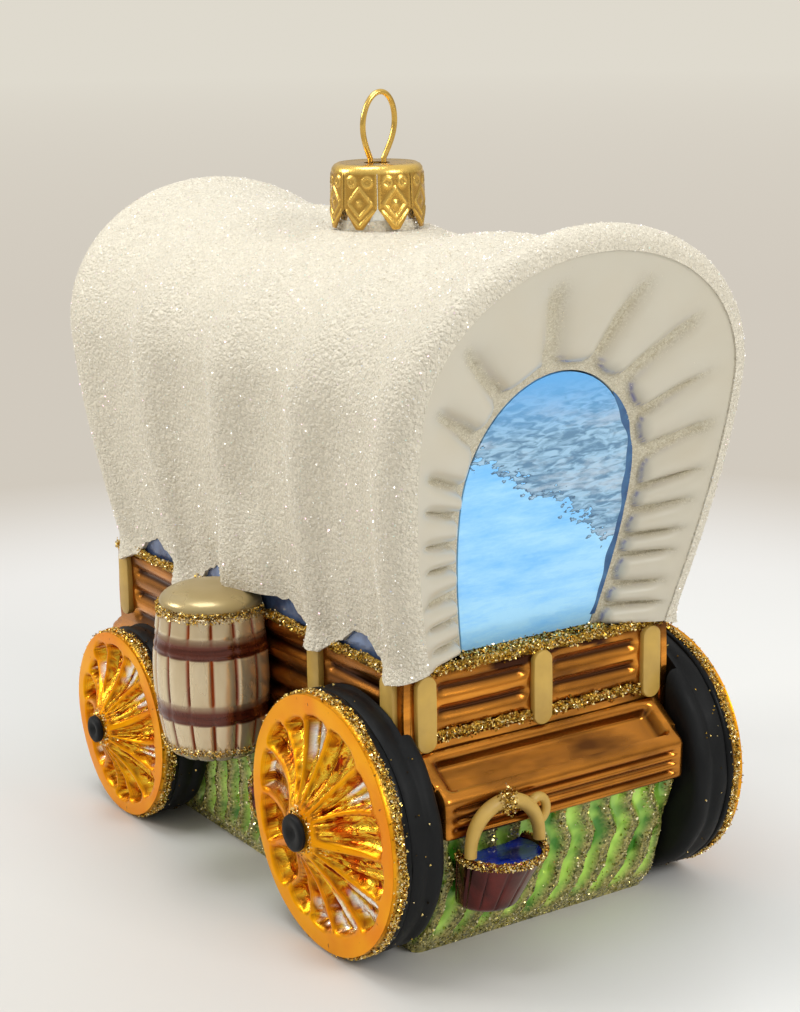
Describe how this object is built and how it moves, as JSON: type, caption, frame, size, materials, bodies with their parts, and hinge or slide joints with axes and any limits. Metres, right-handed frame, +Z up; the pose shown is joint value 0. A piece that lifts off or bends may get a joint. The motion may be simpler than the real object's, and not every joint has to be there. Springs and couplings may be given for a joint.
{
  "type": "blown-glass hanging ornament in the shape of a covered wagon",
  "caption": "Hanging ornament moulded as a covered wagon with fixed wheels, barrels and bucket, under a lift-off crown cap with a wire loop.",
  "frame": {"origin": "on the floor, at the middle of the flat underside of the grass base, under the middle of the box", "axes": "+Z up; the wagon's length lies along Y with the tail and its bucket at -Y; +X is the wagon's right side, as seen looking along +Y"},
  "size_m": [0.0906, 0.1302, 0.1397],
  "materials": {
    "frosted_cover": "white lacquer under coarse clear crystal glitter",
    "pearl": "satin pearl lacquer",
    "blue_glass": "glossy translucent blue lacquer over silvering",
    "brown_lacquer": "glossy amber-brown lacquer over silvering",
    "black_lacquer": "matte black lacquer",
    "amber_lacquer": "glossy amber lacquer over silvering",
    "green_lacquer": "glossy green lacquer over silvering",
    "maroon_lacquer": "glossy dark red lacquer",
    "tan_enamel": "flat tan enamel",
    "clear_glass": "silvered glass",
    "gold_metal": "bright gold-coloured tinplate and wire"
  },
  "bodies": {
    "ornament": {"cover": "frosted_cover", "curtain_rear": "pearl", "curtain_front": "pearl", "barrel_left": "pearl", "barrel_right": "pearl", "barrel_lid_left": "pearl", "barrel_lid_right": "pearl", "pane_rear": "blue_glass", "pane_front": "blue_glass", "glass_strip_left": "blue_glass", "glass_strip_right": "blue_glass", "bucket_water": "blue_glass", "side_left": "brown_lacquer", "side_right": "brown_lacquer", "end_rear": "brown_lacquer", "end_front": "brown_lacquer", "bed_floor": "brown_lacquer", "feed_box_rear": "brown_lacquer", "feed_box_front": "brown_lacquer", "tyre_rear_left": "black_lacquer", "tyre_rear_right": "black_lacquer", "tyre_front_left": "black_lacquer", "tyre_front_right": "black_lacquer", "hub_rear_left": "black_lacquer", "hub_rear_right": "black_lacquer", "hub_front_left": "black_lacquer", "hub_front_right": "black_lacquer", "wheel_rear_left": "amber_lacquer", "wheel_rear_right": "amber_lacquer", "wheel_front_left": "amber_lacquer", "wheel_front_right": "amber_lacquer", "grass_base": "green_lacquer", "bucket": "maroon_lacquer", "side_bundle": "maroon_lacquer", "bucket_bail": "tan_enamel", "neck": "clear_glass"},
    "cap": {"cap": "gold_metal"},
    "hanger": {"hanger": "gold_metal"}
  },
  "joints": [
    {"name": "cap_lift", "type": "slide", "parent": "ornament", "child": "cap", "axis": [0, 0, 1], "range_m": [0, 0.024]},
    {"name": "hanger_turn", "type": "hinge", "parent": "cap", "child": "hanger", "pos_m": [0, -0.0039, 0.1271], "axis": [0, 0, 1], "continuous": true}
  ]
}
